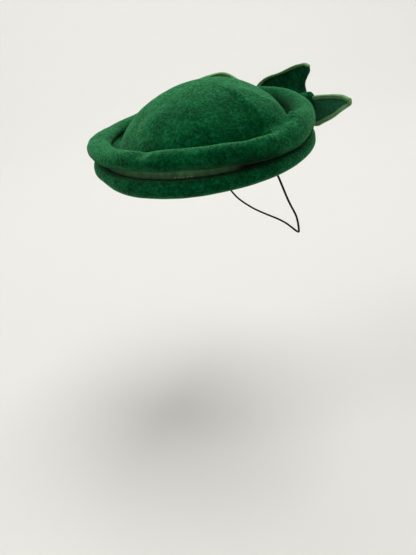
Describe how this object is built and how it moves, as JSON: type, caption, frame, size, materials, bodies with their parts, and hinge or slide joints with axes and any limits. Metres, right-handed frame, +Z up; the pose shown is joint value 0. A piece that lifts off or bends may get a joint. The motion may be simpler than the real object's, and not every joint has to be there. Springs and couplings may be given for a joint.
{
  "type": "pancake hat",
  "caption": "Low felt pancake hat: shallow domed crown, fat upper roll over a flatter brim roll, ribbon in the groove, bow of bound felt leaves behind and an elastic cord.",
  "frame": {"origin": "centre of the head opening, in the plane of the brim roll's underside", "axes": "+Z up through the crown, the wearer faces -Y, the bow is at +Y, the wearer's left is +X"},
  "size_m": [0.2199, 0.2311, 0.165],
  "materials": {
    "velour_felt": "deep green velour felt with a short nap",
    "grosgrain": "olive ribbed ribbon",
    "elastic_cord": "black braided elastic"
  },
  "bodies": {
    "root": {"crown_felt": "velour_felt", "brim_felt": "velour_felt", "groove_band": "grosgrain", "bow_knot": "velour_felt", "bow_leaf_near": "velour_felt", "bow_leaf_upper": "velour_felt", "bow_leaf_far": "velour_felt", "binding_near": "grosgrain", "binding_upper": "grosgrain", "binding_far": "grosgrain", "head_elastic": "elastic_cord"}
  },
  "joints": []
}
